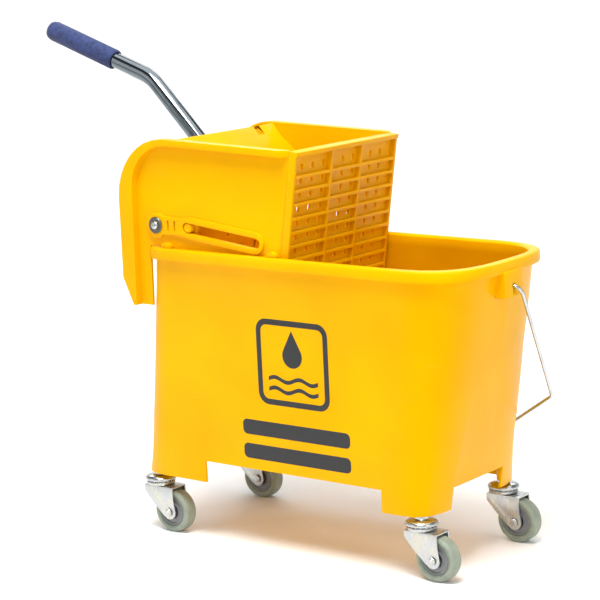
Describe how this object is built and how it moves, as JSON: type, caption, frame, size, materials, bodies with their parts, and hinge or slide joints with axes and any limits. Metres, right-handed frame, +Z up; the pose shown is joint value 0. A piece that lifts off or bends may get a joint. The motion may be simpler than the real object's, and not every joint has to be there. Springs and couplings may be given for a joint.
{
  "type": "mop bucket with wringer",
  "caption": "Rectangular mop bucket on swivel castors, with a wire bail and a lever-worked press wringer hooked over its rear end.",
  "frame": {"origin": "on the floor, at the middle of the whole footprint, lever and bail included", "axes": "+X towards the rounded front of the bucket, +Y towards the side on which the bail hangs, +Z up"},
  "size_m": [0.6672, 0.2552, 0.5884],
  "materials": {
    "polypropylene_yellow": "satin",
    "zinc_plated_steel": "bright zinc plate",
    "chromed_steel": "polished",
    "grey_rubber": "matte",
    "grey_nylon": "matte",
    "black_nylon": "matte",
    "blue_foam": "matte foam"
  },
  "bodies": {
    "bucket": {"bucket_shell": "polypropylene_yellow", "castor_stem_front_left": "zinc_plated_steel", "castor_stem_front_right": "zinc_plated_steel", "castor_stem_rear_left": "zinc_plated_steel", "castor_stem_rear_right": "zinc_plated_steel"},
    "bail": {"bail_wire": "chromed_steel", "bail_grip": "black_nylon"},
    "wringer": {"wringer_side_left": "polypropylene_yellow", "wringer_side_right": "polypropylene_yellow", "front_grid": "polypropylene_yellow", "wringer_floor": "polypropylene_yellow", "rear_cover": "polypropylene_yellow", "pivot_shaft": "zinc_plated_steel", "pivot_washer_left": "zinc_plated_steel", "pivot_washer_right": "zinc_plated_steel", "pivot_screw_left": "zinc_plated_steel", "pivot_screw_right": "zinc_plated_steel"},
    "lever": {"lever_yoke": "polypropylene_yellow", "lever_tube": "chromed_steel", "lever_grip": "blue_foam"},
    "press": {"press_plate": "polypropylene_yellow", "press_pin_left": "polypropylene_yellow", "press_pin_right": "polypropylene_yellow"},
    "fork_front_left": {"castor_fork_front_left": "zinc_plated_steel", "castor_axle_front_left": "zinc_plated_steel"},
    "wheel_front_left": {"castor_tyre_front_left": "grey_rubber", "castor_hub_front_left": "grey_nylon", "castor_bush_front_left": "black_nylon"},
    "fork_front_right": {"castor_fork_front_right": "zinc_plated_steel", "castor_axle_front_right": "zinc_plated_steel"},
    "wheel_front_right": {"castor_tyre_front_right": "grey_rubber", "castor_hub_front_right": "grey_nylon", "castor_bush_front_right": "black_nylon"},
    "fork_rear_left": {"castor_fork_rear_left": "zinc_plated_steel", "castor_axle_rear_left": "zinc_plated_steel"},
    "wheel_rear_left": {"castor_tyre_rear_left": "grey_rubber", "castor_hub_rear_left": "grey_nylon", "castor_bush_rear_left": "black_nylon"},
    "fork_rear_right": {"castor_fork_rear_right": "zinc_plated_steel", "castor_axle_rear_right": "zinc_plated_steel"},
    "wheel_rear_right": {"castor_tyre_rear_right": "grey_rubber", "castor_hub_rear_right": "grey_nylon", "castor_bush_rear_right": "black_nylon"}
  },
  "joints": [
    {"name": "bail_swing", "type": "hinge", "parent": "bucket", "child": "bail", "pos_m": [0.07112, -0.01612, 0.313], "axis": [1, 0, 0], "range_deg": [0, 30]},
    {"name": "wringer_lift", "type": "slide", "parent": "bucket", "child": "wringer", "axis": [0, 0, 1], "range_m": [0, 0.15]},
    {"name": "lever_turn", "type": "hinge", "parent": "wringer", "child": "lever", "pos_m": [-0.08938, -0.01612, 0.366], "axis": [0, -1, 0], "range_deg": [0, 66]},
    {"name": "press_travel", "type": "slide", "parent": "wringer", "child": "press", "axis": [0.9936, 0, -0.1132], "range_m": [0, 0.096]},
    {"name": "swivel_front_left", "type": "hinge", "parent": "bucket", "child": "fork_front_left", "pos_m": [0.25512, 0.06838, 0.0625], "axis": [0, 0, 1], "continuous": true},
    {"name": "roll_front_left", "type": "hinge", "parent": "fork_front_left", "child": "wheel_front_left", "pos_m": [0.27612, 0.06838, 0.025], "axis": [0, 1, 0], "continuous": true},
    {"name": "swivel_front_right", "type": "hinge", "parent": "bucket", "child": "fork_front_right", "pos_m": [0.25512, -0.10062, 0.0625], "axis": [0, 0, 1], "continuous": true},
    {"name": "roll_front_right", "type": "hinge", "parent": "fork_front_right", "child": "wheel_front_right", "pos_m": [0.27612, -0.10062, 0.025], "axis": [0, 1, 0], "continuous": true},
    {"name": "swivel_rear_left", "type": "hinge", "parent": "bucket", "child": "fork_rear_left", "pos_m": [-0.11288, 0.06838, 0.0625], "axis": [0, 0, 1], "continuous": true},
    {"name": "roll_rear_left", "type": "hinge", "parent": "fork_rear_left", "child": "wheel_rear_left", "pos_m": [-0.09188, 0.06838, 0.025], "axis": [0, 1, 0], "continuous": true},
    {"name": "swivel_rear_right", "type": "hinge", "parent": "bucket", "child": "fork_rear_right", "pos_m": [-0.11288, -0.10062, 0.0625], "axis": [0, 0, 1], "continuous": true},
    {"name": "roll_rear_right", "type": "hinge", "parent": "fork_rear_right", "child": "wheel_rear_right", "pos_m": [-0.09188, -0.10062, 0.025], "axis": [0, 1, 0], "continuous": true}
  ],
  "couplings": [
    {"joint": "press_travel", "follows": "lever_turn", "m_per_rad": 0.083339}
  ]
}
